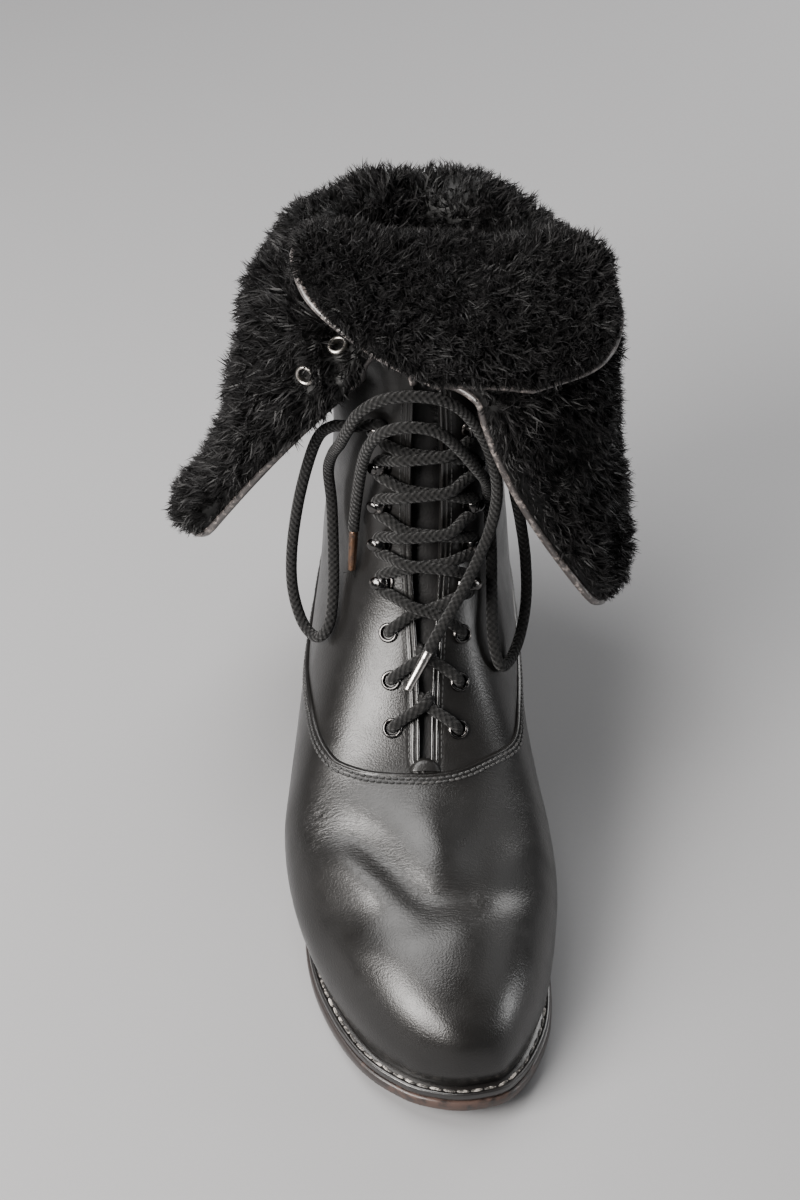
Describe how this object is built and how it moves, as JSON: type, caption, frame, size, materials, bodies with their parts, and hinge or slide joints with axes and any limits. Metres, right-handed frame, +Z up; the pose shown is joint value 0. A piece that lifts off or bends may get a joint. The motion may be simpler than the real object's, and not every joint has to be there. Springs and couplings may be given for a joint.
{
  "type": "boot",
  "caption": "Black leather right boot, laced through eyelets and hooks, fur lined, with the shaft turned down as a fur cuff and the tongue folded over",
  "frame": {"origin": "on the floor at the centre of the heel's tread", "axes": "+X to the inner (medial) side, -Y to the toe, +Z up"},
  "size_m": [0.1826, 0.324, 0.2671],
  "materials": {
    "boot_leather": "smooth black leather, polished, creased over the ball",
    "sole_leather": "black edge-dyed sole leather, worn brown at the toe",
    "heel_rubber": "matte black rubber",
    "lining": "short black wool pile",
    "fur": "deep black clumped fur pile",
    "black_metal": "glossy black japanned metal",
    "lace_cotton": "matte braided cotton",
    "tip_metal": "worn plain metal"
  },
  "bodies": {
    "root": {"aglet_lateral": "tip_metal", "aglet_medial": "tip_metal", "cuff_eyelet_lateral_1": "black_metal", "cuff_eyelet_lateral_2": "black_metal", "cuff_eyelet_medial_1": "black_metal", "cuff_eyelet_medial_2": "black_metal", "cuff_fur": "fur", "eyelet_lateral_1": "black_metal", "eyelet_lateral_2": "black_metal", "eyelet_lateral_3": "black_metal", "eyelet_medial_1": "black_metal", "eyelet_medial_2": "black_metal", "eyelet_medial_3": "black_metal", "heel_lift": "heel_rubber", "heel_stack": "sole_leather", "hook_lateral_1": "black_metal", "hook_lateral_2": "black_metal", "hook_lateral_3": "black_metal", "hook_lateral_4": "black_metal", "hook_lateral_5": "black_metal", "hook_medial_1": "black_metal", "hook_medial_2": "black_metal", "hook_medial_3": "black_metal", "hook_medial_4": "black_metal", "hook_medial_5": "black_metal", "insole": "lining", "lace_crossing_1": "lace_cotton", "lace_crossing_2": "lace_cotton", "lace_crossing_3": "lace_cotton", "lace_crossing_4": "lace_cotton", "lace_crossing_5": "lace_cotton", "lace_crossing_6": "lace_cotton", "lace_crossing_7": "lace_cotton", "lace_end_lateral": "lace_cotton", "lace_end_medial": "lace_cotton", "outsole": "sole_leather", "tongue": "boot_leather", "tongue_fur": "fur", "upper": "boot_leather", "welt": "sole_leather"}
  },
  "joints": []
}
